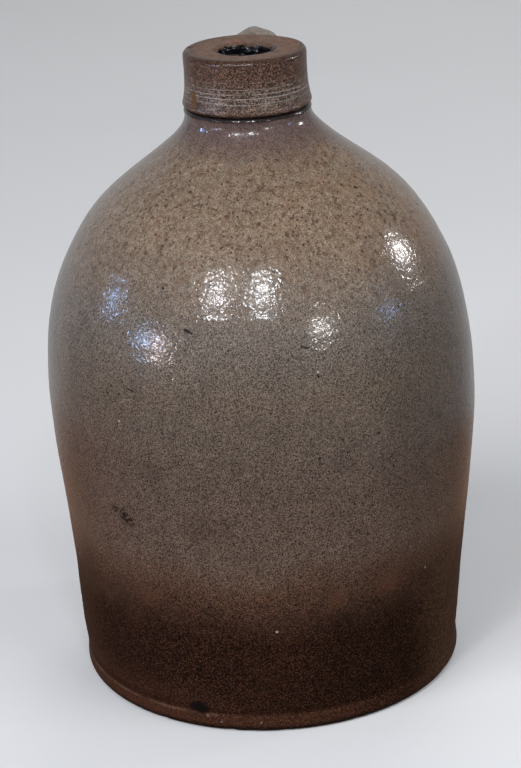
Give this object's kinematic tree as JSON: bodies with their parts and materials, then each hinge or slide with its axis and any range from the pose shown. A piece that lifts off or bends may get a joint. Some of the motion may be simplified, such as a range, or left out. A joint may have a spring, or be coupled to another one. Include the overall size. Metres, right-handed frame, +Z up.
{
  "type": "stoneware jug",
  "caption": "Salt-glazed stoneware crock jug with a domed shoulder, a tooled collar round an open mouth and a strap handle at the back.",
  "frame": {"origin": "centre of the foot's flat underside, on the axis of the jug", "axes": "+Z up along the jug's axis, +Y towards the strap handle, -Y the front"},
  "size_m": [0.231, 0.231, 0.342],
  "materials": {
    "lower_body": "salt glaze, grey-tan with a dark brown lower band",
    "shoulder": "salt glaze, tan with brown iron specks",
    "collar": "brown salt glaze, dry on the top face",
    "strap_handle": "salt glaze, buff-grey",
    "slip_lining": "glossy dark slip"
  },
  "bodies": {
    "root": {"lower_body": "lower_body", "shoulder": "shoulder", "collar": "collar", "strap_handle": "strap_handle", "slip_lining": "slip_lining"}
  },
  "joints": []
}
